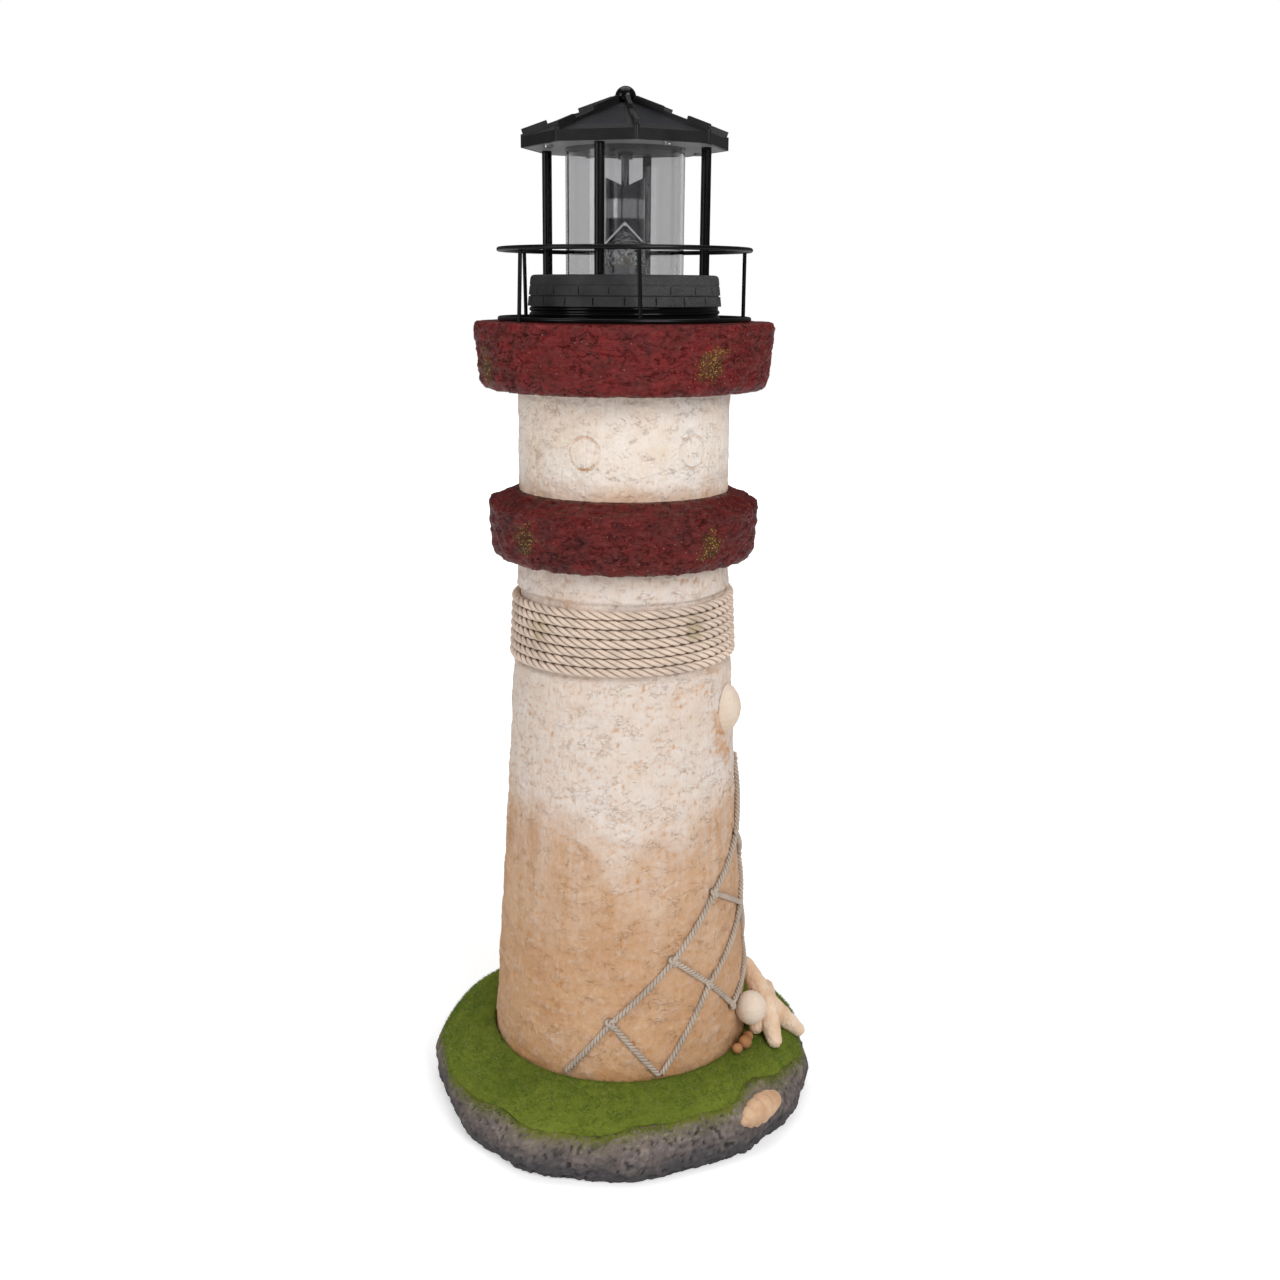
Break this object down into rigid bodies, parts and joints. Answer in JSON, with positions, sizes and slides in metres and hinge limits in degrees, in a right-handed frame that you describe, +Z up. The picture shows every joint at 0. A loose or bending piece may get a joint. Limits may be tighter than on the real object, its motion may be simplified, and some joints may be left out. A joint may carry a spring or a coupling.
{
  "type": "garden lighthouse ornament",
  "caption": "Garden lighthouse ornament: cast tower with red rings, rope band and net on a mossy rock, under a removable glass solar lantern with a turning reflector.",
  "frame": {"origin": "centre of the flat underside of the rock, on the axis of the tower", "axes": "+Z up along the tower to the ball on the roof; -Y the front, as pictured; +X to the viewer's right, the side with the starfish"},
  "size_m": [0.2602, 0.2614, 0.6542],
  "materials": {
    "rock_paint": "matt weathered fibre-clay, painted grey-brown",
    "moss_flock": "loose green flock, glued on",
    "tower_plaster": "matt cream wash over cast fibre-clay",
    "drum_plaster": "matt off-white wash over cast fibre-clay",
    "ring_red": "worn dark red paint over cast fibre-clay",
    "rope": "laid rope in a pale wash",
    "net_cord": "grey-brown washed cord",
    "starfish_cream": "matt, bumpy",
    "pebble_brown": "matt",
    "pebble_cream": "matt",
    "shell_peach": "matt, ribbed",
    "rail_black": "semi-gloss black",
    "socket_black": "matt",
    "seal_rubber": "matt",
    "housing_black": "semi-gloss, worn silver-grey on the brick edges",
    "cover_black": "fine texture",
    "screw_steel": "zinc plated",
    "battery_sleeve": "plain green sleeve",
    "contact_metal": "plated spring steel",
    "switch_metal": "plain",
    "board_green": "solder mask",
    "holder_grey": "translucent grey",
    "led_warm": "milky, lit warm white at night",
    "lens_clear": "clear, cut facets",
    "tube_clear": "clear and smooth",
    "wire_red": "insulated",
    "plate_grey": "matt grey",
    "motor_can": "plain can",
    "roof_black": "smooth, dark slate sheen",
    "solar_blue": "encapsulated dark blue cell",
    "spindle_dark": "dark chrome",
    "reflector_chrome": "dark mirror chrome",
    "post_black": "semi-gloss black"
  },
  "bodies": {
    "tower": {"rock_base": "rock_paint", "moss": "moss_flock", "tower_shaft": "tower_plaster", "lower_ring": "ring_red", "tower_drum": "drum_plaster", "upper_ring": "ring_red", "rope_band": "rope", "net": "net_cord", "starfish": "starfish_cream", "foot_pebbles": "pebble_brown", "tower_pebble": "pebble_cream", "base_pebble": "shell_peach", "gallery_rail": "rail_black", "socket_collar": "socket_black", "seal_ring": "seal_rubber"},
    "lantern": {"lantern_base": "housing_black", "battery_cover": "cover_black", "cover_screws": "screw_steel", "battery_tray": "cover_black", "battery": "battery_sleeve", "battery_contacts": "contact_metal", "switch_body": "switch_metal", "circuit_board": "board_green", "bulb_holder": "holder_grey", "led": "led_warm", "bulb_lens": "lens_clear", "glass_tube": "tube_clear", "post_front": "post_black", "post_right": "post_black", "post_rear": "post_black", "post_left": "post_black", "lead_wire": "wire_red", "ceiling_plate": "plate_grey", "ceiling_screws": "screw_steel", "motor": "motor_can", "roof_shell": "roof_black", "finial": "post_black", "solar_cell_1": "solar_blue", "solar_cell_2": "solar_blue", "solar_cell_3": "solar_blue", "solar_cell_4": "solar_blue", "solar_cell_5": "solar_blue", "solar_cell_6": "solar_blue", "solar_cell_7": "solar_blue", "solar_cell_8": "solar_blue"},
    "rotor": {"spindle": "spindle_dark", "reflector": "reflector_chrome"},
    "switch": {"switch_knob": "cover_black"}
  },
  "joints": [
    {"name": "lantern_lift", "type": "slide", "parent": "tower", "child": "lantern", "axis": [0, 0, 1], "range_m": [0, 0.06]},
    {"name": "reflector_spin", "type": "hinge", "parent": "lantern", "child": "rotor", "pos_m": [0, 0, 0.594], "axis": [0, 0, 1], "continuous": true},
    {"name": "switch_slide", "type": "slide", "parent": "lantern", "child": "switch", "axis": [1, 0, 0], "range_m": [0, 0.003]}
  ]
}
